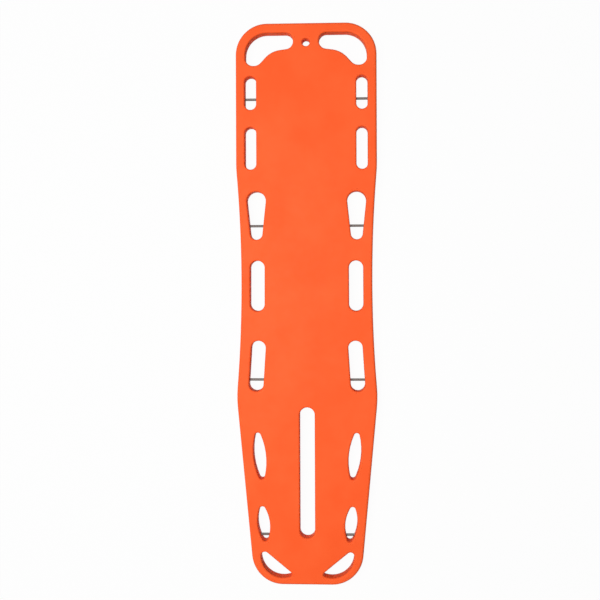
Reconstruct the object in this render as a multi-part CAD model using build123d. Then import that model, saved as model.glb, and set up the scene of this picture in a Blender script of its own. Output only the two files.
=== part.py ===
from build123d import *
import math
import os

# A moulded spine board lying on its runners with the patient side up.
# X runs across the board, +Y towards the head end, +Z up. The origin is on the ground under its middle.
# Sizes are in millimetres and angles in degrees.

# Plate
board_length = 1840.0
plate_thickness = 38.0
skin = 4.0
rim_radius = 8.0
edge_bevel = 5.0

# Sides in plan: half-widths, and where along the board the sides bend
head_half_width = 231.5
waist_half_width = 215.2
hip_half_width = 231.8
foot_half_width = 174.0
chest_bend_y = 445.0
hip_bend_y = -307.0
corner_radius = 103.0
chest_bend_radius = 400.0
hip_bend_radius = 380.0

# Head grips, one bent opening in each corner
head_grip_rail = 32.0
head_grip_inner_x = 43.0
head_grip_inner_height = 50.0
head_grip_bend_across = 84.0
head_grip_bend_down = 59.4
head_grip_bend_radius = 80.0
head_grip_lobe_width = 41.2
head_grip_reach = 106.8

# Lanyard hole in the middle of the head end
lanyard_hole_radius = 10.0
lanyard_hole_inset = 65.0

# Foot grips, one crescent in each corner
foot_grip_rail = 22.6
foot_grip_radius = 72.0
foot_grip_depth = 45.6
foot_grip_angle = 39.4
foot_grip_outer_tip = 12.0
foot_grip_inner_tip = 8.0

# Side openings, named by the part of the body beside them
hand_rail = 30.0
wide_rail = 37.8
shoulder_slot_length = 109.0
chest_slot_length = 138.0
narrow_slot_width = 36.6
rib_opening_length = 157.2
rib_opening_rail = 30.2
rib_head_radius = 30.7
rib_foot_radius = 19.4
carry_slot_length = 165.0
carry_slot_width = 46.5
knee_leaf_length = 152.3
knee_leaf_width = 39.7
shin_leaf_length = 113.4
shin_leaf_width = 38.7
leaf_tip_radius = 9.0

# Solid bridges between those openings, from the head grip down to the foot grip. They share out the
# length that the openings leave, so these are their sizes on this board and their shares on a longer one.
grip_to_shoulder = 34.7
shoulder_to_chest = 57.7
chest_to_rib = 72.5
rib_to_pelvis = 69.1
pelvis_to_thigh = 97.0
thigh_to_knee = 135.0
knee_to_shin = 88.5
shin_to_grip = 35.0

# Slot between the legs
leg_slot_width = 48.4
leg_slot_length = 427.0
leg_slot_foot_margin = 152.5

# Strap pins across four pairs of the side openings
pin_radius = 4.0
pin_socket_depth = 12.0
pin_boss_wall = 4.0
pin_clearance = 0.05
shoulder_pin_rise = 36.3
rib_pin_rise = 44.9
thigh_pin_rise = 36.3
shin_pin_rise = 18.0

# Runners under the plate
runner_width = 45.0
runner_height = 12.0
runner_end_margin = 10.0
runner_draft = 6.0
runner_edge_bevel = 3.0

# Foam core, and the two plugged ports that it is filled and vented through
core_clearance = 0.3
port_radius = 12.0
port_boss_width = 40.0
port_boss_height = 4.0
plug_clearance = 0.2
plug_slot_width = 3.0
plug_slot_length = 16.0
plug_slot_depth = 1.2
fill_port_y = 560.0
vent_port_y = -180.0

pick_tolerance = 0.01

half_length = board_length / 2
plate_bottom = runner_height
plate_top = plate_bottom + plate_thickness
pin_height = plate_bottom + plate_thickness / 2


def corners_at(face, y):
    """The corners of a flat face that lie at one place along the board."""
    return face.vertices().filter_by_position(Axis.Y, y - pick_tolerance, y + pick_tolerance)


def board_plan():
    """Outline of the plate: straight beside the head, drawn in at the waist, tapering to the foot."""
    head = (head_half_width, half_length)
    chest = (head_half_width, chest_bend_y)
    waist = (waist_half_width, (chest_bend_y + hip_bend_y) / 2)
    hip = (hip_half_width, hip_bend_y)
    foot = (foot_half_width, -half_length)
    side = Curve() + [Line(head, chest), ThreePointArc(chest, waist, hip), Line(hip, foot)]
    head_edge = Line((-head_half_width, half_length), head)
    foot_edge = Line((-foot_half_width, -half_length), foot)
    plan = make_face(side + mirror(side, Plane.YZ) + [head_edge, foot_edge])
    plan = fillet(corners_at(plan, hip_bend_y), hip_bend_radius)
    plan = fillet(corners_at(plan, chest_bend_y), chest_bend_radius)
    plan = fillet(corners_at(plan, half_length), corner_radius)
    return fillet(corners_at(plan, -half_length), corner_radius)


PLAN = board_plan()


def chord_at(face, y):
    """Where a line across the board at one place enters and leaves a flat face, on its right half."""
    crossing = face.face() & Edge.make_line((0, y), (board_length, y))
    box = crossing.bounding_box()
    return box.min.X, box.max.X


def edge_slope(y):
    """Angle between the board's right edge and its middle line at one place, head end outwards."""
    step = 1.0
    rise = chord_at(PLAN, y + step)[1] - chord_at(PLAN, y - step)[1]
    return math.degrees(math.atan2(rise, 2 * step))


def head_grip():
    """A bent band: its outer side follows the board's corner and its inner side turns with it."""
    outer_x = head_half_width - head_grip_rail
    outer_y = half_length - head_grip_rail
    outer_round = corner_radius - head_grip_rail
    end_round = head_grip_inner_height / 2
    lobe_round = min(0.62 * head_grip_lobe_width, 0.95 * (head_grip_reach - outer_round))
    corners = [
        (outer_x, outer_y),
        (head_grip_inner_x, outer_y),
        (head_grip_inner_x, outer_y - head_grip_inner_height),
        (outer_x - head_grip_bend_across, outer_y - head_grip_bend_down),
        (outer_x - head_grip_lobe_width, outer_y - head_grip_reach),
        (outer_x, outer_y - head_grip_reach),
    ]
    inner_lobe_round = 0.75 * head_grip_lobe_width
    radii = [outer_round, end_round, end_round, head_grip_bend_radius, inner_lobe_round, lobe_round]
    return make_face(FilletPolyline(*corners, radius=radii, close=True))


def foot_grip():
    """A crescent: its arc runs round the board's corner, and a straight chord closes it."""
    taper = math.atan2(hip_half_width - foot_half_width, hip_bend_y + half_length)
    corner_x = foot_half_width + corner_radius * (math.tan(taper) - 1 / math.cos(taper))
    centre = (corner_x, -half_length + foot_grip_rail + foot_grip_radius)
    keep = Rectangle(4 * foot_grip_radius, foot_grip_radius, align=(Align.CENTER, Align.MAX))
    chord_drop = foot_grip_radius - foot_grip_depth
    crescent = Circle(foot_grip_radius) & Pos(0, -chord_drop) * keep
    tips = crescent.vertices().sort_by(Axis.X)
    crescent = fillet(tips[-1], foot_grip_outer_tip)
    crescent = fillet(crescent.vertices().sort_by(Axis.X)[0], foot_grip_inner_tip)
    return Pos(*centre) * Rot(Z=foot_grip_angle) * crescent


def slot(length, width):
    """A straight opening along the board with round ends."""
    return SlotOverall(length, width, rotation=90)


def teardrop():
    """Two round ends of different size joined by straight tangents, the larger end to the head."""
    head_y = rib_opening_length / 2 - rib_head_radius
    foot_y = rib_foot_radius - rib_opening_length / 2
    lean = math.asin((rib_head_radius - rib_foot_radius) / (head_y - foot_y))
    out, drop = math.cos(lean), math.sin(lean)
    sides = [
        (out * rib_head_radius, head_y - drop * rib_head_radius),
        (-out * rib_head_radius, head_y - drop * rib_head_radius),
        (-out * rib_foot_radius, foot_y - drop * rib_foot_radius),
        (out * rib_foot_radius, foot_y - drop * rib_foot_radius),
    ]
    ends = Pos(0, head_y) * Circle(rib_head_radius) + Pos(0, foot_y) * Circle(rib_foot_radius)
    return make_face(Polyline(*sides, close=True)) + ends


def leaf(length, width):
    """Two long arcs that meet in round tips, drawn as the overlap of two circles with filleted tips."""
    half, tip = length / 2, leaf_tip_radius
    side_radius = ((half - tip) ** 2 + (width / 2) ** 2 - tip**2) / (width - 2 * tip)
    shift = side_radius - width / 2
    lens = Pos(shift, 0) * Circle(side_radius) & Pos(-shift, 0) * Circle(side_radius)
    return fillet(lens.vertices(), tip)


HEAD_GRIP = head_grip()
FOOT_GRIP = foot_grip()
GRIP_FOOT_SIDE = HEAD_GRIP.bounding_box().min.Y
GRIP_HEAD_SIDE = FOOT_GRIP.bounding_box().max.Y


def beside_edge(opening, y, rail, follows_edge):
    """The place at which an opening drawn at the origin leaves a rail of one width outside it."""
    turn = Rot(Z=-edge_slope(y) if follows_edge else 0)
    half_width = chord_at(turn * opening, 0)[1]
    return Pos(chord_at(PLAN, y)[1] - rail - half_width, y) * turn


def side_openings():
    """The seven openings of the right side, from head to foot, spaced by their bridges, and their blocks."""
    narrow, carry, rib = narrow_slot_width, carry_slot_width, 2 * rib_head_radius
    shapes = [
        (slot(shoulder_slot_length, narrow), narrow, shoulder_slot_length, hand_rail, True),
        (slot(chest_slot_length, narrow), narrow, chest_slot_length, hand_rail, True),
        (teardrop(), rib, rib_opening_length, rib_opening_rail, False),
        (slot(carry_slot_length, carry), carry, carry_slot_length, hand_rail, True),
        (slot(carry_slot_length, carry), carry, carry_slot_length, wide_rail, True),
        (leaf(knee_leaf_length, knee_leaf_width), knee_leaf_width, knee_leaf_length, wide_rail, True),
        (leaf(shin_leaf_length, shin_leaf_width), shin_leaf_width, shin_leaf_length, hand_rail, True),
    ]
    bridges = [
        grip_to_shoulder,
        shoulder_to_chest,
        chest_to_rib,
        rib_to_pelvis,
        pelvis_to_thigh,
        thigh_to_knee,
        knee_to_shin,
    ]
    openings_length = sum(length for _, _, length, _, _ in shapes)
    free_length = GRIP_FOOT_SIDE - GRIP_HEAD_SIDE - openings_length
    stretch = free_length / (sum(bridges) + shin_to_grip)
    openings, blocks = [], []
    head_side = GRIP_FOOT_SIDE
    for bridge, (shape, width, length, rail, follows_edge) in zip(bridges, shapes):
        head_side -= bridge * stretch
        place = beside_edge(shape, head_side - length / 2, rail, follows_edge)
        openings.append(place * shape)
        blocks.append(place * Rectangle(width, length))
        head_side -= length
    return openings, blocks


def both_sides(faces):
    """Flat faces of the right side, and their mirror images on the left."""
    return faces + [mirror(face, Plane.YZ) for face in faces]


SIDE_OPENINGS, SIDE_BLOCKS = side_openings()
SHOULDER_SLOT, _, RIB_OPENING, _, THIGH_SLOT, _, SHIN_LEAF = SIDE_OPENINGS
LEG_SLOT_PLACE = Pos(0, -half_length + leg_slot_foot_margin + leg_slot_length / 2)
LEG_SLOT = LEG_SLOT_PLACE * slot(leg_slot_length, leg_slot_width)
LANYARD_PLACE = Pos(0, half_length - lanyard_hole_inset)
LANYARD_HOLE = LANYARD_PLACE * Circle(lanyard_hole_radius)
OPENINGS = both_sides([HEAD_GRIP, *SIDE_OPENINGS, FOOT_GRIP]) + [LEG_SLOT, LANYARD_HOLE]

# The plain blocks that the hollow inside is kept clear of, one round each opening
BLOCKS = both_sides([HEAD_GRIP, *SIDE_BLOCKS, FOOT_GRIP])
BLOCKS += [LEG_SLOT_PLACE * Rectangle(leg_slot_width, leg_slot_length)]
BLOCKS += [LANYARD_PLACE * Rectangle(2 * lanyard_hole_radius, 2 * lanyard_hole_radius)]


def strap_pin_spans():
    """Each right-hand strap pin's place along the board and the walls that it runs between."""
    rises = {
        "shoulder": (SHOULDER_SLOT, shoulder_pin_rise),
        "rib": (RIB_OPENING, rib_pin_rise),
        "thigh": (THIGH_SLOT, thigh_pin_rise),
        "shin": (SHIN_LEAF, shin_pin_rise),
    }
    spans = {}
    for name, (opening, rise) in rises.items():
        y = opening.bounding_box().min.Y + rise
        spans[name] = (y, *chord_at(opening, y))
    return spans


PIN_SPANS = strap_pin_spans()


def rod(x_from, x_to, y, radius):
    """A round bar lying across the board at the height of the strap pins."""
    middle = ((x_from + x_to) / 2, y, pin_height)
    return Pos(*middle) * Rot(Y=90) * Cylinder(radius, x_to - x_from)


def pin_bosses(grow):
    """The square lumps inside the moulding that hold the ends of the right-hand strap pins."""
    reach = pin_socket_depth + pin_boss_wall + grow
    side = 2 * (pin_radius + pin_boss_wall + grow)
    return [
        Pos((low + high) / 2, y, pin_height) * Box(high - low + 2 * reach, side, side)
        for y, low, high in PIN_SPANS.values()
    ]


def runner_span():
    """Middle of the right-hand runner, midway between the leg slot and the innermost side opening, and its length."""
    inner = leg_slot_width / 2
    outer = min(opening.bounding_box().min.X for opening in SIDE_OPENINGS)
    head_end = GRIP_FOOT_SIDE - runner_end_margin
    foot_end = GRIP_HEAD_SIDE + runner_end_margin
    return (inner + outer) / 2, (head_end + foot_end) / 2, head_end - foot_end


RUNNER_X, RUNNER_Y, RUNNER_LENGTH = runner_span()


def runner():
    """A long low foot moulded under the plate, with drafted sides and bevelled edges."""
    top = Pos(RUNNER_X, RUNNER_Y, plate_bottom) * slot(RUNNER_LENGTH, runner_width)
    body = extrude(top, -runner_height, taper=runner_draft)
    return chamfer(body.edges().group_by(Axis.Z)[0], runner_edge_bevel)


def runner_channel(inset):
    """The hollow in the straight stretch of the right-hand runner, up to the skin under the plate's own hollow."""
    plan = Rectangle(runner_width - 2 * inset, RUNNER_LENGTH - runner_width)
    return extrude(Pos(RUNNER_X, RUNNER_Y, skin) * plan, plate_bottom)


def outer_body():
    """The board as one solid lump: plate with its rim rounded above, other edges bevelled, and the runners."""
    plan = PLAN
    for opening in OPENINGS:
        plan -= opening
    plate = extrude(Pos(0, 0, plate_bottom) * plan, plate_thickness)
    plate = fillet(plate.faces().sort_by(Axis.Z)[-1].outer_wire().edges(), rim_radius)
    underside, *_, top = plate.faces().filter_by(Plane.XY).sort_by(Axis.Z)
    lips = [edge for wire in top.inner_wires() for edge in wire.edges()]
    plate = chamfer(underside.edges() + lips, edge_bevel)
    right = runner()
    return plate + right + mirror(right, Plane.YZ)


def at_ports(shape):
    """One shape at the fill port and one at the vent port, standing on the underside of the plate."""
    return [Pos(0, y, plate_bottom) * shape for y in (fill_port_y, vent_port_y)]


STAND = (Align.CENTER, Align.CENTER, Align.MIN)


def filling(gap):
    """The space inside the skin, less a gap at its upright walls: the hollow, or the foam in it."""
    inset = skin + gap
    plan = offset(PLAN, -inset)
    for block in BLOCKS:
        plan -= offset(block, inset, kind=Kind.INTERSECTION)
    low, high = plate_bottom + skin, plate_top - skin
    space = extrude(Pos(0, 0, low) * plan, high - low)
    channel = runner_channel(inset)
    space += [channel, mirror(channel, Plane.YZ)]
    bosses = pin_bosses(gap)
    space -= bosses
    space -= [mirror(boss, Plane.YZ) for boss in bosses]
    boss_width = port_boss_width + 2 * gap
    return space - at_ports(Box(boss_width, boss_width, skin + port_boss_height, align=STAND))


def board_shell():
    """The hollow moulding, with blind sockets for the strap pins and the two ports."""
    sockets = [
        rod(low - pin_socket_depth, high + pin_socket_depth, y, pin_radius + pin_clearance)
        for y, low, high in PIN_SPANS.values()
    ]
    shell = outer_body() - filling(0)
    shell -= sockets + [mirror(socket, Plane.YZ) for socket in sockets]
    return shell - at_ports(Cylinder(port_radius, skin + port_boss_height, align=STAND))


def strap_pin(y, low, high):
    """A plain bar from the bottom of one socket to the bottom of the other."""
    return rod(low - pin_socket_depth, high + pin_socket_depth, y, pin_radius)


def plug():
    """A round plug that fills its port, flush with the underside, with a slot to turn it by."""
    body = Cylinder(port_radius - plug_clearance, skin + port_boss_height, align=STAND)
    return body - Box(plug_slot_length, plug_slot_width, plug_slot_depth, align=STAND)


fill_plug, vent_plug = at_ports(plug())
parts = {
    "board_shell": board_shell(),
    "foam_core": filling(core_clearance),
    "fill_plug": fill_plug,
    "vent_plug": vent_plug,
}
for place, span in PIN_SPANS.items():
    right_pin = strap_pin(*span)
    parts[f"{place}_pin_right"] = right_pin
    parts[f"{place}_pin_left"] = mirror(right_pin, Plane.YZ)

os.makedirs("parts", exist_ok=True)
for node, shape in parts.items():
    export_step(shape, f"parts/{node}.step")
    print(node, len(shape.solids()), "solid,", round(shape.volume / 1000, 1), "cm3")
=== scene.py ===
import math

import bmesh
import bpy
import numpy as np
from mathutils.geometry import delaunay_2d_cdt
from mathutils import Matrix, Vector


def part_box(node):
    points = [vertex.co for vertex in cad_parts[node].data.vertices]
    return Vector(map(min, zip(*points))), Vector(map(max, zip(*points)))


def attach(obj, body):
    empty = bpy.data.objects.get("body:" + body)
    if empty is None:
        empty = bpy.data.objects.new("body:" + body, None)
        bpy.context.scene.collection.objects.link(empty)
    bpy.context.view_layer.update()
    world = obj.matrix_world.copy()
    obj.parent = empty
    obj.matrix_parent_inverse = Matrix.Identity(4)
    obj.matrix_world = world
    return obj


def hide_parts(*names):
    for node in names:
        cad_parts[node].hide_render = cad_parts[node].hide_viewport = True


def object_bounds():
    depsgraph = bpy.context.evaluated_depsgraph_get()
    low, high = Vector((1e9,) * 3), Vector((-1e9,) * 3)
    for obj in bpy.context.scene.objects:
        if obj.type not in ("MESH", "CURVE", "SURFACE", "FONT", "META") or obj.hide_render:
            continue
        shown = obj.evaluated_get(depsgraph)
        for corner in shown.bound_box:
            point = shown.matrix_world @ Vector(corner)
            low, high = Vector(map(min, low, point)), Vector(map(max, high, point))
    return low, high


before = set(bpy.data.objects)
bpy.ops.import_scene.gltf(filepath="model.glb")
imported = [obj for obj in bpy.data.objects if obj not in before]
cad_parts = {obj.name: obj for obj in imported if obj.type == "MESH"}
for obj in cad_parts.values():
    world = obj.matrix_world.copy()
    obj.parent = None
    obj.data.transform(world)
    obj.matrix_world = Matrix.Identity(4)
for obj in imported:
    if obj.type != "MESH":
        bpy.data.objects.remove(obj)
cad_bounds = [list(corner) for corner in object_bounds()]
cad_low, cad_high = (np.array(corner) for corner in cad_bounds)

bl_info = {
    "name": "Moulded spine board",
    "version": (1, 0, 0),
    "blender": (4, 5, 0),
    "location": "View3D > Sidebar > Spine board",
    "description": "Builds a hollow moulded rescue board with its strap pins and plugs, and a stage for it",
    "category": "Object",
}

# The board lies on its runners. X runs across it, +Y to its head end, +Z up out of the patient side.
BODY = "root"
SIDES = ("right", "left")
PINNED_OPENINGS = ("shoulder", "rib", "thigh", "shin")
PLUGS = ("fill_plug", "vent_plug")


def size(name, description, millimetres):
    """A length that a user may change, kept in metres."""
    return bpy.props.FloatProperty(
        name=name, description=description, default=millimetres / 1000, unit="LENGTH", precision=5
    )


def angle(name, description, degrees):
    """A turn that a user may change."""
    return bpy.props.FloatProperty(
        name=name, description=description, default=math.radians(degrees), subtype="ANGLE"
    )


def colour(name, description, red, green, blue):
    """A linear colour that a user may change."""
    return bpy.props.FloatVectorProperty(
        name=name, description=description, default=(red, green, blue), subtype="COLOR", min=0, max=1
    )


def factor(name, description, value):
    """A plain number from 0 up that a user may change."""
    return bpy.props.FloatProperty(name=name, description=description, default=value, min=0, precision=4)


class OutlineSizes(bpy.types.PropertyGroup):
    """The board's plan and its edges."""

    length: bpy.props.FloatProperty(
        name="Length", description="Head end to foot end", default=cad_high[1] - cad_low[1], unit="LENGTH"
    )
    head_half_width: size("Head half-width", "Middle line to side beside the head", 231.5)
    waist_half_width: size("Waist half-width", "Middle line to the narrowest place of the waist", 215.2)
    hip_half_width: size("Hip half-width", "Middle line to side at the hips", 231.8)
    foot_half_width: size("Foot half-width", "Middle line to side at the foot end, before the corner", 174)
    chest_bend: size("Chest bend", "Place along the board where the waist begins", 445)
    hip_bend: size("Hip bend", "Place along the board where the taper to the foot begins", -307)
    corner_radius: size("Corner radius", "Radius of the four corners in plan", 103)
    chest_radius: size("Chest bend radius", "How softly the side bends at the chest", 400)
    hip_radius: size("Hip bend radius", "How softly the side bends at the hips", 380)
    top: size("Patient face", "Height of the patient face above the ground", 50)
    underside: size("Underside", "Height of the underside above the ground", 12)
    rim_radius: size("Rim radius", "Rounding of the outer edge, above and below", 8)
    lip_radius: size("Lip radius", "Rounding of the lips of the openings", 6)
    parting_ridge: size("Parting ridge", "Height of the mould's parting line on the walls", 0.35)
    parting_width: size("Parting width", "Half-width of the parting line", 0.5)
    support: size("Flat margin", "Flat strip beside each rounding", 1.2)


class GripSizes(bpy.types.PropertyGroup):
    """The grips in the four corners, the lanyard hole and the slot between the legs."""

    head_rail: size("Head rail", "Rail outside the head grips", 32)
    head_inner_x: size("Head grip inner end", "Middle line to the inner end of a head grip", 43)
    head_inner_height: size("Head grip inner height", "Width of a head grip at its inner end", 50)
    head_bend_across: size("Head grip bend across", "Outer side to the inside of the bend", 84)
    head_bend_down: size("Head grip bend down", "Head side to the inside of the bend", 59.4)
    head_bend_radius: size("Head grip bend radius", "Radius of the inside of the bend", 80)
    head_lobe_width: size("Head grip lobe", "Width of the lobe that runs along the side", 41.2)
    head_reach: size("Head grip reach", "Head side to the foot end of the lobe", 106.8)
    lobe_round: factor("Lobe rounding", "Rounding of the lobe's outer corner over its width", 0.62)
    lobe_inner_round: factor(
        "Inner lobe rounding", "Rounding of the lobe's inner corner over its width", 0.75
    )
    foot_rail: size("Foot rail", "Rail outside the foot grips", 22.6)
    foot_radius: size("Foot grip radius", "Radius of the crescent's arc", 72)
    foot_depth: size("Foot grip depth", "Chord to arc at the crescent's middle", 45.6)
    foot_angle: angle("Foot grip angle", "Turn of the crescent's chord", 39.4)
    foot_outer_tip: size("Outer tip", "Radius of the crescent's outer tip", 12)
    foot_inner_tip: size("Inner tip", "Radius of the crescent's inner tip", 8)
    lanyard_radius: size("Lanyard hole", "Radius of the lanyard hole", 12)
    lanyard_inset: size("Lanyard inset", "Head end to the middle of the lanyard hole", 63.8)
    leg_width: size("Leg slot width", "Width of the slot between the legs", 48.4)
    leg_length: size("Leg slot length", "Length of the slot between the legs", 427)
    leg_margin: size("Leg slot margin", "Foot end to the slot between the legs", 152.5)


class SideOpeningSizes(bpy.types.PropertyGroup):
    """The seven openings along each side, named by the part of the body beside them."""

    hand_rail: size("Hand rail", "Rail outside a hand opening", 30)
    wide_rail: size("Wide rail", "Rail outside the thigh and knee openings", 37.8)
    narrow_width: size("Narrow slot width", "Width of the shoulder and chest slots", 36.6)
    shoulder_length: size("Shoulder slot", "Length of the shoulder slot", 109)
    chest_length: size("Chest slot", "Length of the chest slot", 138)
    rib_length: size("Rib opening", "Length of the teardrop opening", 157.2)
    rib_rail: size("Rib rail", "Rail outside the teardrop opening", 30.2)
    rib_head_radius: size("Rib head radius", "Radius of the teardrop's head end", 30.7)
    rib_foot_radius: size("Rib foot radius", "Radius of the teardrop's foot end", 19.4)
    carry_length: size("Carry slot length", "Length of the pelvis and thigh slots", 165)
    carry_width: size("Carry slot width", "Width of the pelvis and thigh slots", 46.5)
    knee_length: size("Knee leaf length", "Length of the leaf beside the knee", 152.3)
    knee_width: size("Knee leaf width", "Width of the leaf beside the knee", 39.7)
    shin_length: size("Shin leaf length", "Length of the leaf beside the shin", 113.4)
    shin_width: size("Shin leaf width", "Width of the leaf beside the shin", 38.7)
    leaf_tip: size("Leaf tip", "Radius of the leaves' tips", 9)
    grip_to_shoulder: size("Grip to shoulder", "Bridge between the head grip and the shoulder slot", 34.7)
    shoulder_to_chest: size("Shoulder to chest", "Bridge between those slots", 57.7)
    chest_to_rib: size("Chest to rib", "Bridge between those openings", 72.5)
    rib_to_pelvis: size("Rib to pelvis", "Bridge between those openings", 69.1)
    pelvis_to_thigh: size("Pelvis to thigh", "Bridge between those slots", 97)
    thigh_to_knee: size("Thigh to knee", "Bridge between those openings", 135)
    knee_to_shin: size("Knee to shin", "Bridge between those leaves", 88.5)
    shin_to_grip: size("Shin to grip", "Bridge between the shin leaf and the foot grip", 35)


class UndersideSizes(bpy.types.PropertyGroup):
    """The runners and the ports under the board."""

    runner_width: size("Runner width", "Width of a runner at its root", 45)
    runner_margin: size("Runner end margin", "Grip to the end of a runner", 10)
    runner_draft: angle("Runner draft", "Lean of the runners' sides", 6)
    runner_root: size("Runner root radius", "Rounding where a runner meets the underside", 3)
    runner_edge: size("Runner edge radius", "Rounding of a runner's ground edge", 3.5)
    port_radius: size("Port radius", "Radius of the fill and vent ports", 12)
    port_lip: size("Port lip", "Rounding of the ports' edges", 0.8)


class FittingSizes(bpy.types.PropertyGroup):
    """The pins and the plugs."""

    pin_end: size("Pin end", "How far the pins' ends are turned down", 0.8)
    plug_edge: size("Plug edge", "Rounding of the plugs' edges", 1)
    plug_dish: size("Plug dish", "Depth of the plugs' hollow face", 0.5)
    slot_length: size("Plug slot length", "Length of the turning slot", 16)
    slot_width: size("Plug slot width", "Width of the turning slot", 3)
    slot_depth: size("Plug slot depth", "Depth of the turning slot", 1.2)
    slot_wall: factor("Plug slot wall", "Lean of the slot's walls over its width", 0.1)
    seat_gap: size("Seat gap", "Gap between a plug and the end of its port", 0.1)


class FinishSettings(bpy.types.PropertyGroup):
    """Colours and grain of the board and its fittings."""

    shell_colour: colour("Shell", "Moulded orange polyethylene", 0.95, 0.122, 0.030)
    shell_shade: colour("Shell shade", "The deeper tone that clouds the orange", 0.93, 0.108, 0.024)
    scuff_colour: colour("Scuff", "Polyethylene rubbed dull on the edges", 0.96, 0.20, 0.085)
    scuff_amount: factor("Scuff amount", "How much of an edge is rubbed", 0.22)
    cloud_scale: factor("Cloud scale", "Clouds in the colour, per metre", 9)
    scratch_scale: factor("Scratch scale", "Scratches on the edges, per metre", 260)
    mottle_scale: factor("Mottle scale", "Duller and brighter patches, per metre", 45)
    peel_scale: factor("Peel scale", "Ripples of the moulded skin, per metre", 420)
    peel_height: size("Peel height", "Height of the ripples of the moulded skin", 0.05)
    grain_scale: factor("Grain scale", "Grain of the moulded skin, per metre", 2600)
    shell_roughness: factor("Shell roughness", "Mean roughness of the moulded skin", 0.46)
    shell_shine: factor("Shell shine", "Strength of the moulded skin's reflections", 0.04)
    pin_colour: colour("Pin", "Dark grey bar", 0.075, 0.060, 0.052)
    plug_colour: colour("Plug", "Orange plug, a shade deeper than the board", 0.86, 0.09, 0.02)
    foam_colour: colour("Foam", "Rigid filling foam", 0.80, 0.70, 0.42)
    cell_scale: factor("Cell scale", "Cells of the foam, per metre", 700)


class StageSettings(bpy.types.PropertyGroup):
    """The floor, lamp and camera around the board."""

    camera_across: size("Camera across", "Place of the lens across the board", 120.7)
    camera_along: size("Camera along", "Place of the lens along the board", 107.2)
    camera_height: size("Camera height", "Height of the lens above the ground", 2302.4)
    camera_yaw: angle("Camera yaw", "Turn of the view across the board", 1.87)
    camera_pitch: angle("Camera pitch", "Turn of the view along the board", 0.07)
    camera_roll: angle("Camera roll", "Turn of the picture", -0.21)
    lens: bpy.props.FloatProperty(name="Lens", description="Focal length", default=41.4, unit="CAMERA")
    shift_across: bpy.props.FloatProperty(name="Shift across", description="Lens shift", default=-0.035)
    shift_along: bpy.props.FloatProperty(name="Shift along", description="Lens shift", default=-0.05)
    sky_light: factor("Sky light", "Even light from all round", 0.05)
    lamp_power: factor("Lamp power", "Soft lamp over the board, in watts", 158)
    lamp_size: size("Lamp size", "Side of the soft lamp", 2400)
    lamp_across: size("Lamp across", "Place of the lamp across the board", -900)
    lamp_along: size("Lamp along", "Place of the lamp along the board", 50)
    lamp_height: size("Lamp height", "Height of the lamp above the ground", 3400)
    floor_reach: size("Floor reach", "Middle of the floor to its sides", 12000)
    floor_colour: colour("Floor", "Pale floor as the light meets it", 0.6, 0.6, 0.6)
    floor_glow: factor("Floor whiteness", "Share of plain white that the camera sees in the floor", 0.96)


# Degrees between the points of an arc, and metres between the points of any run.
MAX_TURN = 6.0
MAX_STRETCH = 0.03
# The same for loops that only measure where something lies.
FINE_TURN = 0.5
FINE_STRETCH = 0.004
# Metres within which two points of a loop are one.
SAME_POINT = 1e-6
# Flat strip beside the roundings of runners and ports, over their radius.
STRIP = 2.5
# Metres between the inner points of a level sheet, and how near to its border they may come, over that.
SHEET_SPACING = 0.035
SHEET_MARGIN = 0.55
# Edges of pins and plugs that bend by more than this are shaded sharp.
SHARP_EDGE = math.radians(45)


def tangent_arcs(corners, radii):
    """Arcs of a polygon, named counter-clockwise, whose corners are rounded.

    Each arc is (centre x, centre y, radius, start angle, sweep), in degrees. It touches both sides of its
    corner, so it starts radius * tan(turn / 2) before the corner. A corner that turns clockwise has its
    centre outside and a negative sweep. The straights between the arcs are left unsaid.
    """
    corner = np.array(corners, float)
    radius = np.array(radii, float)
    coming = corner - np.roll(corner, 1, 0)
    coming /= np.linalg.norm(coming, axis=1)[:, None]
    going = np.roll(coming, -1, 0)
    cross = coming[:, 0] * going[:, 1] - coming[:, 1] * going[:, 0]
    turn = np.arctan2(cross, (coming * going).sum(1))
    side = np.sign(turn)
    outward = np.stack([coming[:, 1], -coming[:, 0]], 1)
    start = corner - coming * (radius * np.tan(np.abs(turn) / 2))[:, None]
    centre = start - outward * (radius * side)[:, None]
    bearing = np.arctan2(outward[:, 1], outward[:, 0]) + np.where(side < 0, np.pi, 0)
    return np.column_stack([centre, radius, np.degrees(bearing), np.degrees(turn)])


def slot_arcs(length, width):
    """A straight opening along Y with round ends: two half circles."""
    rise, radius = (length - width) / 2, width / 2
    return np.array([(0, rise, radius, 0, 180), (0, -rise, radius, 180, 180)])


def hole_arcs(radius):
    """A full circle, as a slot as long as it is wide."""
    return slot_arcs(2 * radius, 2 * radius)


def teardrop_arcs(length, head_radius, foot_radius):
    """Two round ends joined by their outer tangents, which lean by asin(difference / distance)."""
    head_y, foot_y = length / 2 - head_radius, foot_radius - length / 2
    lean = math.degrees(math.asin((head_radius - foot_radius) / (head_y - foot_y)))
    return np.array([
        (0, head_y, head_radius, -lean, 180 + 2 * lean),
        (0, foot_y, foot_radius, 180 + lean, 180 - 2 * lean),
    ])


def leaf_arcs(length, width, tip):
    """Two long arcs that meet in round tips. The tips touch the long arcs from inside."""
    half = length / 2 - tip
    side = (half**2 + (width / 2) ** 2 - tip**2) / (width - 2 * tip)
    shift = side - width / 2
    rise = math.degrees(math.atan2(half, shift))
    return np.array([
        (-shift, 0, side, -rise, 2 * rise),
        (0, half, tip, rise, 180 - 2 * rise),
        (shift, 0, side, 180 - rise, 2 * rise),
        (0, -half, tip, 180 + rise, 180 - 2 * rise),
    ])


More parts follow.
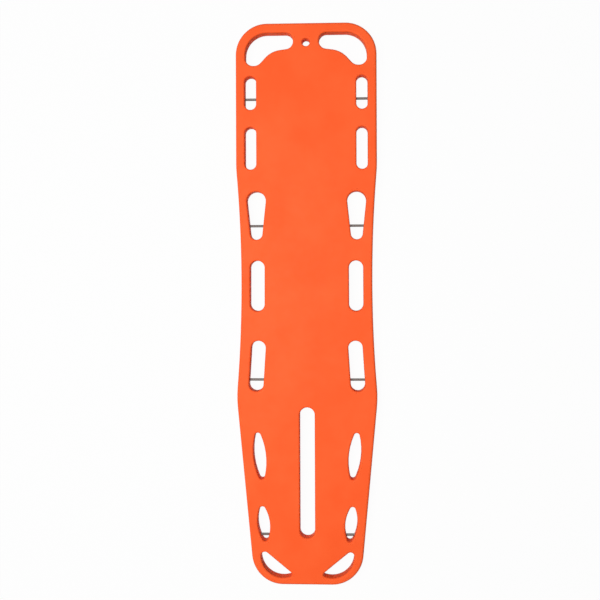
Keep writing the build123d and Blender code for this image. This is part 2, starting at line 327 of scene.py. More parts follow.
def crescent_arcs(radius, depth, outer_tip, inner_tip):
    """A circle cut by a chord above its lower cap, with each tip rounded by an arc that touches both."""
    drop = radius - depth
    outer_x = math.sqrt((radius - outer_tip) ** 2 - (drop + outer_tip) ** 2)
    inner_x = math.sqrt((radius - inner_tip) ** 2 - (drop + inner_tip) ** 2)
    outer_angle = math.degrees(math.atan2(-drop - outer_tip, outer_x))
    inner_angle = math.degrees(math.atan2(-drop - inner_tip, -inner_x))
    return np.array([
        (0, 0, radius, inner_angle, (outer_angle - inner_angle) % 360),
        (outer_x, -drop - outer_tip, outer_tip, outer_angle, 90 - outer_angle),
        (-inner_x, -drop - inner_tip, inner_tip, 90, (inner_angle - 90) % 360),
    ])


def placed(arcs, x, y, turn=0.0):
    """Arcs turned about the origin by an angle in degrees, then moved."""
    cos, sin = math.cos(math.radians(turn)), math.sin(math.radians(turn))
    out = arcs.copy()
    out[:, 0] = x + cos * arcs[:, 0] - sin * arcs[:, 1]
    out[:, 1] = y + sin * arcs[:, 0] + cos * arcs[:, 1]
    out[:, 3] += turn
    return out


def mirrored(arcs):
    """The same loop on the other side of the middle line, still counter-clockwise."""
    out = arcs[::-1].copy()
    out[:, 3] = 180 - out[:, 3] - out[:, 4]
    out[:, 0] *= -1
    return out


def loop_points(arcs, max_turn=MAX_TURN, max_stretch=MAX_STRETCH):
    """Points along a closed loop of arcs, and its outward normals there.

    A point of an arc is centre + radius * (cos a, sin a), with a running from the start by the sweep. A
    straight runs from the last point of one arc to the first of the next, and keeps their normal.
    """
    points, normals = [], []
    for x, y, radius, start, sweep in arcs:
        arc_length = radius * math.radians(abs(sweep))
        steps = max(math.ceil(abs(sweep) / max_turn), math.ceil(arc_length / max_stretch))
        bearing = np.radians(start + sweep * np.linspace(0, 1, steps + 1))
        ray = np.stack([np.cos(bearing), np.sin(bearing)], 1)
        points.append([x, y] + radius * ray)
        normals.append(ray * np.sign(sweep))
    rows, sides = [], []
    for here, there, normal in zip(points, points[1:] + points[:1], normals):
        gap = np.linalg.norm(there[0] - here[-1])
        share = np.linspace(0, 1, max(math.ceil(gap / max_stretch), 1) + 1)[1:-1, None]
        straight = here[-1] + share * (there[0] - here[-1])
        keep = slice(None) if gap > SAME_POINT else slice(0, -1)
        rows += [here[keep], straight]
        sides += [normal[keep], np.repeat(normal[-1:], len(straight), 0)]
    return np.concatenate(rows), np.concatenate(sides)


def outline_arcs(plan):
    """The board's outline: straight beside the head, a hollow arc at the waist, a taper to the foot.

    The waist is the circle through its two ends and its middle. The bends at the chest and the hips are
    arcs that touch a straight side from inside and the waist circle from outside, so their centres lie
    one bend radius inside the side and waist radius + bend radius from the waist's centre.
    """
    half = plan.length / 2
    chest = np.array([plan.head_half_width, plan.chest_bend])
    waist = np.array([plan.waist_half_width, (plan.chest_bend + plan.hip_bend) / 2])
    hip = np.array([plan.hip_half_width, plan.hip_bend])
    chords = 2 * np.array([waist - chest, hip - chest])
    squares = [waist @ waist - chest @ chest, hip @ hip - chest @ chest]
    centre = np.linalg.solve(chords, squares)
    radius = np.linalg.norm(centre - chest)

    reach = radius + plan.chest_radius
    bend_x = plan.head_half_width - plan.chest_radius
    bend = np.array([bend_x, centre[1] + math.sqrt(reach**2 - (centre[0] - bend_x) ** 2)])
    bend_angle = math.degrees(math.atan2(centre[1] - bend[1], centre[0] - bend[0]))

    along = hip - (plan.foot_half_width, -half)
    along /= np.linalg.norm(along)
    outward = np.array([along[1], -along[0]])
    start = hip - outward * plan.hip_radius
    from_centre = start - centre
    reach = radius + plan.hip_radius
    middle = from_centre @ along
    travel = -middle - math.sqrt(middle**2 - from_centre @ from_centre + reach**2)
    turn = start + along * travel
    turn_angle = math.degrees(math.atan2(centre[1] - turn[1], centre[0] - turn[0]))
    side_angle = math.degrees(math.atan2(outward[1], outward[0]))

    right = np.array([
        (foot_corner_x(plan), plan.corner_radius - half, plan.corner_radius, -90, 90 + side_angle),
        (*turn, plan.hip_radius, side_angle, turn_angle - side_angle),
        (*centre, radius, 180 + turn_angle, bend_angle - turn_angle),
        (*bend, plan.chest_radius, bend_angle, -bend_angle),
        (plan.head_half_width - plan.corner_radius, half - plan.corner_radius, plan.corner_radius, 0, 90),
    ])
    return np.concatenate([right, mirrored(right)])


def foot_corner_x(plan):
    """Where the centre of a foot corner lies: one radius inside both the foot edge and the leaning side."""
    taper = math.atan2(plan.hip_half_width - plan.foot_half_width, plan.hip_bend + plan.length / 2)
    return plan.foot_half_width + plan.corner_radius * (math.tan(taper) - 1 / math.cos(taper))


def head_grip_arcs(plan, grip):
    """A bent band: its outer side follows the board's corner and its inner side turns with it."""
    outer_x = plan.head_half_width - grip.head_rail
    outer_y = plan.length / 2 - grip.head_rail
    lobe = grip.head_lobe_width
    corners = [
        (outer_x, outer_y),
        (grip.head_inner_x, outer_y),
        (grip.head_inner_x, outer_y - grip.head_inner_height),
        (outer_x - grip.head_bend_across, outer_y - grip.head_bend_down),
        (outer_x - lobe, outer_y - grip.head_reach),
        (outer_x, outer_y - grip.head_reach),
    ]
    end_round = grip.head_inner_height / 2
    outer_round = plan.corner_radius - grip.head_rail
    lobe_round = min(grip.lobe_round * lobe, 0.95 * (grip.head_reach - outer_round))
    inner_round = grip.lobe_inner_round * lobe
    radii = [outer_round, end_round, end_round, grip.head_bend_radius, inner_round, lobe_round]
    return tangent_arcs(corners, radii)


def foot_grip_arcs(plan, grip):
    """A crescent round the board's foot corner."""
    arcs = crescent_arcs(grip.foot_radius, grip.foot_depth, grip.foot_outer_tip, grip.foot_inner_tip)
    y = -plan.length / 2 + grip.foot_rail + grip.foot_radius
    return placed(arcs, foot_corner_x(plan), y, math.degrees(grip.foot_angle))


def edge_at(outline, y):
    """Half-width of the board at a place along it, and the lean of its side there, in degrees."""
    points, _ = outline
    right = points[points[:, 0] > 0]
    order = np.argsort(right[:, 1])
    step = 0.001
    before, here, after = np.interp([y - step, y, y + step], right[order, 1], right[order, 0])
    return here, math.degrees(math.atan2(after - before, 2 * step))


def widest_at_middle(arcs):
    """How far a loop reaches to the right on the line y = 0."""
    points, _ = loop_points(arcs, FINE_TURN)
    after = np.roll(points, -1, 0)
    hit = (points[:, 1] <= 0) != (after[:, 1] <= 0)
    share = -points[hit, 1] / (after[hit, 1] - points[hit, 1])
    return (points[hit, 0] + share * (after[hit, 0] - points[hit, 0])).max()


def side_opening_arcs(plan, grip, side, outline):
    """The seven openings of the right side by name, spaced from the head grip by bridges.

    The bridges are stretched alike, so that they and the openings fill the length between the two grips.
    """
    narrow, carry = side.narrow_width, side.carry_width
    rib = teardrop_arcs(side.rib_length, side.rib_head_radius, side.rib_foot_radius)
    knee = leaf_arcs(side.knee_length, side.knee_width, side.leaf_tip)
    shin = leaf_arcs(side.shin_length, side.shin_width, side.leaf_tip)
    shapes = {
        "shoulder": (slot_arcs(side.shoulder_length, narrow), side.shoulder_length, side.hand_rail, True),
        "chest": (slot_arcs(side.chest_length, narrow), side.chest_length, side.hand_rail, True),
        "rib": (rib, side.rib_length, side.rib_rail, False),
        "pelvis": (slot_arcs(side.carry_length, carry), side.carry_length, side.hand_rail, True),
        "thigh": (slot_arcs(side.carry_length, carry), side.carry_length, side.wide_rail, True),
        "knee": (knee, side.knee_length, side.wide_rail, True),
        "shin": (shin, side.shin_length, side.hand_rail, True),
    }
    bridges = [
        side.grip_to_shoulder,
        side.shoulder_to_chest,
        side.chest_to_rib,
        side.rib_to_pelvis,
        side.pelvis_to_thigh,
        side.thigh_to_knee,
        side.knee_to_shin,
    ]
    head_end, foot_end = grip_ends(plan, grip)
    free = head_end - foot_end - sum(length for _, length, _, _ in shapes.values())
    stretch = free / (sum(bridges) + side.shin_to_grip)
    openings = {}
    y = head_end
    for bridge, (name, (arcs, length, rail, leans)) in zip(bridges, shapes.items()):
        y -= bridge * stretch
        middle = y - length / 2
        edge, lean = edge_at(outline, middle)
        turned = placed(arcs, 0, 0, -lean if leans else 0)
        openings[name] = placed(turned, edge - rail - widest_at_middle(turned), middle)
        y -= length
    return openings


def grip_ends(plan, grip):
    """Foot side of the head grip and head side of the foot grip, along the board."""
    head_points, _ = loop_points(head_grip_arcs(plan, grip), FINE_TURN)
    foot_points, _ = loop_points(foot_grip_arcs(plan, grip), FINE_TURN)
    return head_points[:, 1].min(), foot_points[:, 1].max()


def board_loops(scene):
    """The outline, the openings of the right side by name, and all the openings, as loops of points."""
    plan, grip, side = scene.board_outline, scene.board_grips, scene.board_side
    outline = loop_points(outline_arcs(plan))
    fine_outline = loop_points(outline_arcs(plan), FINE_TURN, FINE_STRETCH)
    right = {"head grip": head_grip_arcs(plan, grip)}
    right.update(side_opening_arcs(plan, grip, side, fine_outline))
    right["foot grip"] = foot_grip_arcs(plan, grip)
    leg_y = -plan.length / 2 + grip.leg_margin + grip.leg_length / 2
    middle = [
        placed(slot_arcs(grip.leg_length, grip.leg_width), 0, leg_y),
        placed(hole_arcs(grip.lanyard_radius), 0, plan.length / 2 - grip.lanyard_inset),
    ]
    openings = [*right.values(), *(mirrored(arcs) for arcs in right.values()), *middle]
    return outline, right, [loop_points(arcs) for arcs in openings]


def rounded_path(corners, radii, segments=6):
    """An open run of straights, given by its corners, with arcs that touch both sides of the inner ones."""
    corner = np.array(corners, float)
    rows = [corner[:1]]
    for before, here, after, radius in zip(corner, corner[1:], corner[2:], radii):
        coming = (here - before) / np.linalg.norm(here - before)
        going = (after - here) / np.linalg.norm(after - here)
        turn = math.atan2(coming[0] * going[1] - coming[1] * going[0], coming @ going)
        inward = np.sign(turn) * np.array([-coming[1], coming[0]])
        start = here - coming * radius * math.tan(abs(turn) / 2)
        turned = np.linspace(0, abs(turn), segments + 1)[:, None]
        rows.append(start + radius * (np.sin(turned) * coming + (1 - np.cos(turned)) * inward))
    return np.concatenate(rows + [corner[-1:]])


def wall_profile(plan, radius):
    """The section of an edge from the patient face down to the underside.

    Each point of it is (depth into the board, height). Two quarter circles of one radius join the faces
    to the wall. At half height the wall carries the mould's parting line, a low ridge of the shape
    height * exp(-(distance / width) ** 2).
    """
    middle = (plan.top + plan.underside) / 2
    round_steps = 8
    bend = np.radians(np.linspace(90, 0, round_steps + 1))
    depth = plan.parting_ridge + radius * (1 - np.cos(bend))
    height = plan.top - radius + radius * np.sin(bend)
    widths_away = np.array([3.0, 1.4, 0.8, 0.0])
    depth = np.append(depth, plan.parting_ridge * (1 - np.exp(-(widths_away**2))))
    height = np.append(height, middle + widths_away * plan.parting_width)
    depth = np.append(depth[:1] + plan.support, depth)
    height = np.append(height[:1], height)
    section = np.stack([depth, height], 1)
    below = section[-2::-1] * [1, -1] + [0, 2 * middle]
    return np.concatenate([section, below])


def edge_wear(section, radius, plan):
    """How much an edge is rubbed at each point of its section: most on the middle of the roundings.

    It is exp(-((distance from the nearer face - worst) / spread) ** 2).
    """
    worst, spread = 0.35 * radius, 0.4 * radius
    reach = np.minimum(plan.top - section[:, 1], section[:, 1] - plan.underside)
    return np.exp(-(((reach - worst) / spread) ** 2))


def carried(loop, section, inward):
    """A section carried round a loop.

    Its points are loop point + inward * depth * outward normal, each at its own height.
    """
    points, normals = loop
    flat = points[None] + inward * section[:, None, :1] * normals[None]
    height = np.broadcast_to(section[:, None, 1:], (*flat.shape[:2], 1))
    return np.concatenate([flat, height], 2)


def ring_faces(rows, columns, flip):
    """Four-sided faces between neighbouring rings of a grid, closed round its columns."""
    row = np.arange(rows - 1)[:, None] * columns
    here, after = np.arange(columns), (np.arange(columns) + 1) % columns
    corners = [row + here, row + after, row + columns + after, row + columns + here]
    faces = np.stack(corners, 2).reshape(-1, 4)
    return faces[:, ::-1] if flip else faces


class Surface:
    """Vertices, faces and wear of a mesh that is put together from sheets."""

    def __init__(self):
        self.vertices, self.faces, self.wear, self.count = [], [], [], 0

    def add(self, vertices, faces, wear=0.0):
        """A sheet of vertices and its faces, which count from its own first vertex."""
        self.vertices.append(vertices.reshape(-1, 3))
        self.faces += (np.asarray(faces) + self.count).tolist()
        total = len(self.vertices[-1])
        self.wear.append(np.broadcast_to(wear, total).astype(float))
        self.count += total

    def add_rings(self, grid, wear, flip):
        """A grid whose rows are closed rings."""
        rows, columns = grid.shape[:2]
        self.add(grid, ring_faces(rows, columns, flip), np.repeat(wear, columns))

    def build(self, name):
        """The sheets as one object, with their shared borders joined and shaded smooth."""
        mesh = bpy.data.meshes.new(name)
        vertices = np.concatenate(self.vertices)
        mesh.from_pydata(vertices.tolist(), [], self.faces)
        wear = mesh.attributes.new("wear", "FLOAT", "POINT")
        wear.data.foreach_set("value", np.concatenate(self.wear).astype(np.float32))
        joined = bmesh.new()
        joined.from_mesh(mesh)
        bmesh.ops.remove_doubles(joined, verts=joined.verts, dist=2 * SAME_POINT)
        joined.to_mesh(mesh)
        joined.free()
        mesh.shade_smooth()
        piece = bpy.data.objects.new(name, mesh)
        bpy.context.scene.collection.objects.link(piece)
        return piece


def inside(points, loops):
    """Which points lie inside an odd number of loops, by counting the loop edges to their right."""
    start = np.concatenate(loops)
    end = np.concatenate([np.roll(loop, -1, 0) for loop in loops])
    x, y = points[:, :1], points[:, 1:]
    spans = (start[:, 1] > y) != (end[:, 1] > y)
    rise = np.where(end[:, 1] == start[:, 1], 1.0, end[:, 1] - start[:, 1])
    crossing = start[:, 0] + (y - start[:, 1]) * (end[:, 0] - start[:, 0]) / rise
    return (spans & (crossing > x)).sum(1) % 2 == 1


def flat_sheet(loops, height, spacing=SHEET_SPACING):
    """A level sheet inside its first loop and outside the others, as even triangles.

    Inner points lie on a triangular lattice, clear of every loop. The triangles are the constrained
    Delaunay ones, and those that belong to an even number of loops are left out.
    """
    border = np.concatenate(loops)
    low, high = border.min(0), border.max(0)
    columns = np.arange(low[0], high[0], spacing)
    rows = np.arange(low[1], high[1], spacing * math.sqrt(3) / 2)
    x, y = np.meshgrid(columns, rows)
    x = x + (np.arange(len(rows))[:, None] % 2) * spacing / 2
    lattice = np.stack([x.ravel(), y.ravel()], 1)
    lattice = lattice[inside(lattice, loops)]
    gaps = lattice[:, None] - border[None]
    lattice = lattice[np.hypot(gaps[..., 0], gaps[..., 1]).min(1) > SHEET_MARGIN * spacing]
    ends = np.cumsum([len(loop) for loop in loops])
    rings = [list(range(end - len(loop), end)) for end, loop in zip(ends, loops)]
    points = np.concatenate([border, lattice])
    only_inside, nearness = 1, SAME_POINT / 10
    made, _, triangles, _, _, owners = delaunay_2d_cdt(points.tolist(), [], rings, only_inside, nearness)
    in_an_odd_number = np.array([len(owner) for owner in owners]) % 2 == 1
    made, triangles = np.array(made), np.array(triangles)[in_an_odd_number]
    a, b, c = (made[triangles[:, k]] for k in range(3))
    area = (b[:, 0] - a[:, 0]) * (c[:, 1] - a[:, 1]) - (b[:, 1] - a[:, 1]) * (c[:, 0] - a[:, 0])
    triangles[area < 0] = triangles[area < 0][:, ::-1]
    vertices = np.column_stack([made, np.full(len(made), height)])
    return vertices, triangles


def runner_loop(scene, side_loops):
    """Root of the right-hand runner, midway between the leg slot and the innermost side opening."""
    under, grip = scene.board_underside, scene.board_grips
    outer = min(loop_points(side_loops[name])[0][:, 0].min() for name in side_loops if "grip" not in name)
    head_end, foot_end = grip_ends(scene.board_outline, grip)
    length = head_end - foot_end - 2 * under.runner_margin
    middle = (grip.leg_width / 2 + outer) / 2, (head_end + foot_end) / 2
    return placed(slot_arcs(length, under.runner_width), *middle)


def runner_profile(scene):
    """Section of a runner from the underside to the ground, as (distance outside its root, height)."""
    plan, under = scene.board_outline, scene.board_underside
    lean = plan.underside * math.tan(under.runner_draft)
    corners = [
        (STRIP * under.runner_root, plan.underside),
        (0, plan.underside),
        (-lean, 0),
        (-lean - STRIP * under.runner_edge, 0),
    ]
    return rounded_path(corners, [under.runner_root, under.runner_edge])


def port_places():
    """The middles of the fill and vent ports, as the frame has them."""
    places = []
    for node in PLUGS:
        low, high = (np.array(corner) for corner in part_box(node))
        places.append((low + high) / 2)
    return places


def make_shell(scene):
    """The moulding's outer surface: edges carried round every loop, two faces, runners and blind ports."""
    plan, under = scene.board_outline, scene.board_underside
    outline, right, openings = board_loops(scene)
    surface = Surface()

    rim = wall_profile(plan, plan.rim_radius)
    grid = carried(outline, rim, -1)
    surface.add_rings(grid, edge_wear(rim, plan.rim_radius, plan), True)
    top_loops, low_loops = [grid[0, :, :2]], [grid[-1, :, :2]]
    lip = wall_profile(plan, plan.lip_radius)
    for loop in openings:
        grid = carried(loop, lip, 1)
        surface.add_rings(grid, edge_wear(lip, plan.lip_radius, plan), False)
        top_loops.append(grid[0, :, :2])
        low_loops.append(grid[-1, :, :2])
    vertices, triangles = flat_sheet(top_loops, plan.top)
    surface.add(vertices, triangles)

    runner = runner_loop(scene, right)
    section = runner_profile(scene)
    for arcs in (runner, mirrored(runner)):
        grid = carried(loop_points(arcs), section, 1)
        surface.add_rings(grid, np.where(section[:, 1] < under.runner_edge, 1.0, 0.0), True)
        low_loops.append(grid[0, :, :2])
        vertices, triangles = flat_sheet([grid[-1, :, :2]], 0)
        surface.add(vertices, triangles[:, ::-1], 1.0)

    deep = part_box("fill_plug")[1][2]
    corners = [(STRIP * under.port_lip, plan.underside), (0, plan.underside), (0, deep)]
    port = rounded_path(corners, [under.port_lip])
    for place in port_places():
        loop = loop_points(placed(hole_arcs(under.port_radius), place[0], place[1]))
        grid = carried(loop, port, 1)
        surface.add_rings(grid, np.zeros(len(port)), True)
        low_loops.append(grid[0, :, :2])
        vertices, triangles = flat_sheet([grid[-1, :, :2]], deep, under.port_radius / 2)
        surface.add(vertices, triangles[:, ::-1])
    vertices, triangles = flat_sheet(low_loops, plan.underside)
    surface.add(vertices, triangles[:, ::-1])
    return surface.build("shell_skin")


def make_pin(scene, name, node):
    """A round bar along X between the ends of its CAD node, with turned-down ends.

    Within one end radius c of an end, at a distance s from it, the bar's radius is
    r - c + sqrt(c * c - (c - s) ** 2). Past that it is r, and a point on the axis closes each end.
    """
    columns, end_steps, runs = 48, 5, 12
    low, high = (np.array(corner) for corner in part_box(node))
    middle = (low + high) / 2
    radius, half = (high[2] - low[2]) / 2, (high[0] - low[0]) / 2
    end = scene.board_fittings.pin_end
    bend = np.radians(np.linspace(90, 0, end_steps))
    end_x = half - end + end * np.sin(bend)
    end_r = radius - end + end * np.cos(bend)
    run_x = np.linspace(half - end, end - half, runs + 2)[1:-1]
    x = np.concatenate([[half], end_x, run_x, -end_x[::-1], [-half]])
    r = np.concatenate([[0.0], end_r, np.full(runs, radius), end_r[::-1], [0.0]])
    around = np.linspace(0, 2 * np.pi, columns, endpoint=False)
    grid = np.stack([
        middle[0] + np.repeat(x[:, None], columns, 1),
        middle[1] + r[:, None] * np.cos(around),
        middle[2] + r[:, None] * np.sin(around),
    ], 2)
    surface = Surface()
    surface.add_rings(grid, np.zeros(len(x)), True)
    piece = surface.build(name)
    piece.data.set_sharp_from_angle(angle=SHARP_EDGE)
    return piece


def smooth_step(value):
    """0 below 0, 1 above 1 and 3 v^2 - 2 v^3 between."""
    v = np.clip(value, 0, 1)
    return v * v * (3 - 2 * v)


def make_plug(scene, name, node):
    """A flush plug: a polar grid whose face is dished and cut by a turning slot.

    The face lies at dish * (1 - (r / R) ** 2) above the underside, plus the slot's depth where both
    |x| < length / 2 and |y| < width / 2, with a smooth step at the slot's walls.
    """
    columns, face_steps, edge_steps = 128, 69, 5
    fitting = scene.board_fittings
    low, high = (np.array(corner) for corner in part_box(node))
    middle, radius = (low + high) / 2, (high[0] - low[0]) / 2
    edge = fitting.plug_edge
    around = np.linspace(0, 2 * np.pi, columns, endpoint=False)
    share = np.linspace(0, 1, face_steps + 1)[:, None]
    r = share * (radius - edge)
    x, y = r * np.cos(around), r * np.sin(around)
    wall = fitting.slot_wall * fitting.slot_width
    across = smooth_step((fitting.slot_width / 2 - np.abs(y)) / wall)
    along = smooth_step((fitting.slot_length / 2 - np.abs(x)) / wall)
    z = fitting.plug_dish * (1 - share**2) + fitting.slot_depth * across * along
    face = np.stack([middle[0] + x, middle[1] + y, low[2] + z], 2)
    bend = np.radians(np.linspace(0, 90, edge_steps + 1))[1:]
    seat = high[2] - fitting.seat_gap
    side_r = np.append(radius - edge + edge * np.sin(bend), [radius, radius, 0.0])
    side_z = np.append(low[2] + edge - edge * np.cos(bend), [middle[2], seat, seat])
    side = np.stack([
        middle[0] + side_r[:, None] * np.cos(around),
        middle[1] + side_r[:, None] * np.sin(around),
        np.repeat(side_z[:, None], columns, 1),
    ], 2)
    surface = Surface()
    grid = np.concatenate([face, side])
    surface.add_rings(grid, np.zeros(len(grid)), False)
    piece = surface.build(name)
    piece.data.set_sharp_from_angle(angle=SHARP_EDGE)
    return piece


def new_material(name):
    """A material with its shader, and a function that adds a linked node to it."""
    material = bpy.data.materials.new(name)
    material.use_nodes = True
    nodes, links = material.node_tree.nodes, material.node_tree.links
    shader = nodes["Principled BSDF"]

    def add(kind, inputs=None, **settings):
        node = nodes.new(kind)
        for key, value in settings.items():
            setattr(node, key, value)
        for key, value in (inputs or {}).items():
            if isinstance(value, bpy.types.NodeSocket):
                links.new(value, node.inputs[key])
            else:
                node.inputs[key].default_value = value
        return node

    return material, shader, links, add


def opaque(rgb):
    """A colour with full alpha."""
    return (*rgb, 1.0)


def mixed(add, share, first, second):
    """The colour that lies between two by a share. The mix node's colours are its sockets 6, 7 and 2."""
    return add("ShaderNodeMix", {0: share, 6: first, 7: second}, data_type="RGBA").outputs[2]


def ranged(add, value, low, high, new_low=0.0, new_high=1.0):
    """A value carried over from one range to another, and kept within it."""
    ends = {"From Min": low, "From Max": high, "To Min": new_low, "To Max": new_high}
    return add("ShaderNodeMapRange", {"Value": value, **ends}).outputs[0]


def multiplied(add, first, second):
    """The product of two values."""
    return add("ShaderNodeMath", {0: first, 1: second}, operation="MULTIPLY").outputs[0]


def moulded_finish(name, scene, base, shade, scuff):
    """Rotomoulded polyethylene: clouded colour, a rippled and grained skin, and edges rubbed dull."""
    finish = scene.board_finish
    material, shader, links, add = new_material(name)
    place = add("ShaderNodeTexCoord").outputs["Object"]

    clouds = add("ShaderNodeTexNoise", {"Vector": place, "Scale": finish.cloud_scale, "Detail": 4.0})
    clouded = mixed(add, ranged(add, clouds.outputs["Fac"], 0.35, 0.65), opaque(base), opaque(shade))

    wear = add("ShaderNodeAttribute", attribute_name="wear")
    scratches = add("ShaderNodeTexNoise", {
        "Vector": place, "Scale": finish.scratch_scale, "Detail": 6.0, "Roughness": 0.7,
    })
    rubbed = multiplied(add, wear.outputs["Fac"], ranged(add, scratches.outputs["Fac"], 0.5, 0.72))
    scuffed = multiplied(add, rubbed, finish.scuff_amount)
    links.new(mixed(add, scuffed, clouded, opaque(scuff)), shader.inputs["Base Color"])

    mottle = add("ShaderNodeTexNoise", {"Vector": place, "Scale": finish.mottle_scale, "Detail": 5.0})
    low, high = finish.shell_roughness - 0.05, finish.shell_roughness + 0.06
    rough = ranged(add, mottle.outputs["Fac"], 0.3, 0.7, low, high)
    duller = add("ShaderNodeMath", {0: scuffed, 1: rough}, operation="ADD")
    links.new(duller.outputs[0], shader.inputs["Roughness"])

    peel = add("ShaderNodeTexNoise", {"Vector": place, "Scale": finish.peel_scale, "Detail": 2.0})
    grain = add("ShaderNodeTexNoise", {"Vector": place, "Scale": finish.grain_scale, "Detail": 2.0})
    grain_bump = add("ShaderNodeBump", {
        "Height": grain.outputs["Fac"], "Strength": 0.25, "Distance": 0.0001,
    })
    bump = add("ShaderNodeBump", {
        "Height": peel.outputs["Fac"], "Strength": 0.5, "Distance": finish.peel_height,
        "Normal": grain_bump.outputs["Normal"],
    })
    links.new(bump.outputs["Normal"], shader.inputs["Normal"])
    shader.inputs["IOR"].default_value = 1.5
    shader.inputs["Specular IOR Level"].default_value = finish.shell_shine
    return material


def bar_finish(scene):
    """Dark drawn bar: fine lines along it, and a faint bloom."""
    finish = scene.board_finish
    material, shader, links, add = new_material("pin_dark")
    place = add("ShaderNodeTexCoord").outputs["Object"]
    drawn = add("ShaderNodeMapping", {"Vector": place, "Scale": (18.0, 900.0, 900.0)})
    lines = add("ShaderNodeTexNoise", {"Vector": drawn.outputs[0], "Scale": 1.0, "Detail": 4.0})
    light = tuple(min(1.0, channel * 1.9) for channel in finish.pin_colour)
    drawn_colour = mixed(add, lines.outputs["Fac"], opaque(finish.pin_colour), opaque(light))
    links.new(drawn_colour, shader.inputs["Base Color"])
    links.new(ranged(add, lines.outputs["Fac"], 0.3, 0.7, 0.32, 0.5), shader.inputs["Roughness"])
    bump = add("ShaderNodeBump", {"Height": lines.outputs["Fac"], "Strength": 0.3, "Distance": 0.00008})
    links.new(bump.outputs["Normal"], shader.inputs["Normal"])
    return material


def foam_finish(scene):
    """Rigid foam: small closed cells in a straw colour."""
    finish = scene.board_finish
    material, shader, links, add = new_material("foam_cells")
    place = add("ShaderNodeTexCoord").outputs["Object"]
    cells = add("ShaderNodeTexVoronoi", {"Vector": place, "Scale": finish.cell_scale})
    dark = tuple(channel * 0.8 for channel in finish.foam_colour)
    cell_colour = mixed(add, cells.outputs["Distance"], opaque(finish.foam_colour), opaque(dark))
    links.new(cell_colour, shader.inputs["Base Color"])
    bump = add("ShaderNodeBump", {"Height": cells.outputs["Distance"], "Strength": 0.6, "Distance": 0.0006})
    links.new(bump.outputs["Normal"], shader.inputs["Normal"])
    shader.inputs["Roughness"].default_value = 0.9
    return material


def dress(piece, material, node):
    """Put a piece in the place of its CAD node, riding on the board."""
    piece.data.materials.append(material)
    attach(piece, BODY)
    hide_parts(node)


class BOARD_OT_shell(bpy.types.Operator):
    """Build the moulded shell over its CAD node"""

    bl_idname = "board.shell"
    bl_label = "Moulded shell"

    def execute(self, context):
        scene = context.scene
        finish = scene.board_finish
        shell = make_shell(scene)
        material = moulded_finish(
            "shell_orange", scene, finish.shell_colour, finish.shell_shade, finish.scuff_colour
        )
        dress(shell, material, "board_shell")
        return {"FINISHED"}


class BOARD_OT_pins(bpy.types.Operator):
    """Build the strap pins over their CAD nodes"""

    bl_idname = "board.pins"
    bl_label = "Strap pins"

    def execute(self, context):
        material = bar_finish(context.scene)
        for opening in PINNED_OPENINGS:
            for side in SIDES:
                node = f"{opening}_pin_{side}"
                pin = make_pin(context.scene, f"{opening}_bar_{side}", node)
                dress(pin, material, node)
        return {"FINISHED"}


class BOARD_OT_plugs(bpy.types.Operator):
    """Build the fill and vent plugs over their CAD nodes"""

    bl_idname = "board.plugs"
    bl_label = "Plugs"

    def execute(self, context):
        scene = context.scene
        plug = scene.board_finish.plug_colour
        deeper = tuple(channel * 0.9 for channel in plug)
        material = moulded_finish("plug_orange", scene, plug, deeper, scene.board_finish.scuff_colour)
        for node in PLUGS:
            dress(make_plug(scene, node + "_turned", node), material, node)
        return {"FINISHED"}


class BOARD_OT_core(bpy.types.Operator):
    """Give the hidden foam core its finish"""

    bl_idname = "board.core"
    bl_label = "Foam core"

    def execute(self, context):
        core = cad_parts["foam_core"]
        core.data.materials.clear()
        core.data.materials.append(foam_finish(context.scene))
        return {"FINISHED"}


def place_camera(scene):
    """Look straight down at the board, head end up in the picture."""
    stage = scene.board_stage
    data = bpy.data.cameras.new("camera")
    data.lens = stage.lens
    data.sensor_width = 36.0
    data.shift_x, data.shift_y = stage.shift_across, stage.shift_along
    camera = bpy.data.objects.new("camera", data)
    camera.location = (stage.camera_across, stage.camera_along, stage.camera_height)
    camera.rotation_mode = "ZXY"
    camera.rotation_euler = (stage.camera_pitch, stage.camera_yaw, stage.camera_roll)
    scene.collection.objects.link(camera)
    scene.camera = camera


def hang_lamp(scene):
    """A square soft lamp over the board's left side, turned to the board's middle."""
    stage = scene.board_stage
    data = bpy.data.lights.new("key", "AREA")
    data.size, data.energy = stage.lamp_size, stage.lamp_power
    lamp = bpy.data.objects.new("key", data)
    place = np.array([stage.lamp_across, stage.lamp_along, stage.lamp_height])
    lamp.location = place
    tilt = math.acos(place[2] / np.linalg.norm(place))
    lamp.rotation_euler = (tilt, 0, math.atan2(place[0], -place[1]))
    scene.collection.objects.link(lamp)


def white_to_camera(tree, white_kind, lit, out, share):
    """Mix plain white into a floor or sky for camera, glossy and transmitted rays alone."""
    nodes, links = tree.nodes, tree.links
    path = nodes.new("ShaderNodeLightPath")
    seen = path.outputs["Is Camera Ray"]
    for ray in ("Is Glossy Ray", "Is Transmission Ray"):
        either = nodes.new("ShaderNodeMath")
        either.operation = "MAXIMUM"
        links.new(seen, either.inputs[0])
        links.new(path.outputs[ray], either.inputs[1])
        seen = either.outputs[0]
    amount = nodes.new("ShaderNodeMath")
    amount.operation = "MULTIPLY"
    links.new(seen, amount.inputs[0])
    amount.inputs[1].default_value = share
    white = nodes.new(white_kind)
    white.inputs["Color"].default_value = (1, 1, 1, 1)
    white.inputs["Strength"].default_value = 1
    mix = nodes.new("ShaderNodeMixShader")
    links.new(amount.outputs[0], mix.inputs[0])
    links.new(lit, mix.inputs[1])
    links.new(white.outputs[0], mix.inputs[2])
    links.new(mix.outputs[0], out)


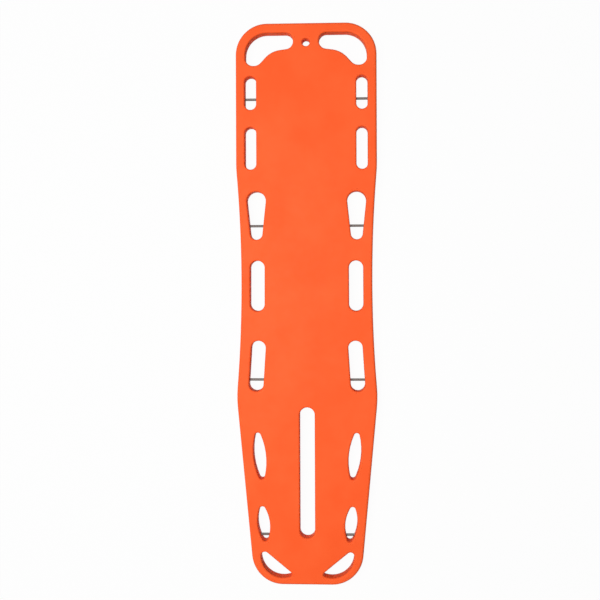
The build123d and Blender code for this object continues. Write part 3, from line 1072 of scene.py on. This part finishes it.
def lay_floor(scene):
    """A wide pale floor that looks white to the camera but keeps the board's shadow."""
    stage = scene.board_stage
    far = stage.floor_reach
    mesh = bpy.data.meshes.new("floor")
    corners = [(-far, -far, 0), (far, -far, 0), (far, far, 0), (-far, far, 0)]
    mesh.from_pydata(corners, [], [(0, 1, 2, 3)])
    floor = bpy.data.objects.new("floor", mesh)
    scene.collection.objects.link(floor)
    material, shader, _, _ = new_material("floor_pale")
    shader.inputs["Base Color"].default_value = opaque(stage.floor_colour)
    shader.inputs["Roughness"].default_value = 0.9
    shader.inputs["Specular IOR Level"].default_value = 0
    tree = material.node_tree
    surface = tree.nodes["Material Output"].inputs["Surface"]
    white_to_camera(tree, "ShaderNodeEmission", shader.outputs[0], surface, stage.floor_glow)
    mesh.materials.append(material)


def light_sky(scene):
    """Dim even light from all round, seen as white by the camera."""
    world = bpy.data.worlds.new("sky")
    world.use_nodes = True
    scene.world = world
    tree = world.node_tree
    sky = tree.nodes["Background"]
    sky.inputs["Color"].default_value = (1, 1, 1, 1)
    sky.inputs["Strength"].default_value = scene.board_stage.sky_light
    surface = tree.nodes["World Output"].inputs["Surface"]
    white_to_camera(tree, "ShaderNodeBackground", sky.outputs[0], surface, 1)


class BOARD_OT_stage(bpy.types.Operator):
    """Lay the floor, hang the lamp and place the camera"""

    bl_idname = "board.stage"
    bl_label = "Stage"

    def execute(self, context):
        scene = context.scene
        lay_floor(scene)
        light_sky(scene)
        hang_lamp(scene)
        place_camera(scene)
        scene.view_settings.view_transform = "Standard"
        return {"FINISHED"}


SETTINGS = {
    "board_outline": OutlineSizes,
    "board_grips": GripSizes,
    "board_side": SideOpeningSizes,
    "board_underside": UndersideSizes,
    "board_fittings": FittingSizes,
    "board_finish": FinishSettings,
    "board_stage": StageSettings,
}
OPERATORS = (BOARD_OT_shell, BOARD_OT_pins, BOARD_OT_plugs, BOARD_OT_core, BOARD_OT_stage)


class BOARD_PT_build(bpy.types.Panel):
    """Sizes, finishes and steps of the spine board"""

    bl_label = "Spine board"
    bl_idname = "BOARD_PT_build"
    bl_space_type = "VIEW_3D"
    bl_region_type = "UI"
    bl_category = "Spine board"

    def draw(self, context):
        for operator in OPERATORS:
            self.layout.operator(operator.bl_idname)
        for name, group in SETTINGS.items():
            box = self.layout.box()
            box.label(text=group.__doc__)
            for key in group.__annotations__:
                box.prop(getattr(context.scene, name), key)


def register():
    """Make the settings, the operators and the panel known."""
    for group in SETTINGS.values():
        bpy.utils.register_class(group)
    for name, group in SETTINGS.items():
        setattr(bpy.types.Scene, name, bpy.props.PointerProperty(type=group))
    for operator in OPERATORS:
        bpy.utils.register_class(operator)
    bpy.utils.register_class(BOARD_PT_build)


def unregister():
    """Take them away again."""
    bpy.utils.unregister_class(BOARD_PT_build)
    for operator in reversed(OPERATORS):
        bpy.utils.unregister_class(operator)
    for name in SETTINGS:
        delattr(bpy.types.Scene, name)
    for group in SETTINGS.values():
        bpy.utils.unregister_class(group)


def main():
    """Build every piece and the stage."""
    register()
    bpy.ops.board.shell()
    bpy.ops.board.pins()
    bpy.ops.board.plugs()
    bpy.ops.board.core()
    bpy.ops.board.stage()


if __name__ == "__main__":
    main()
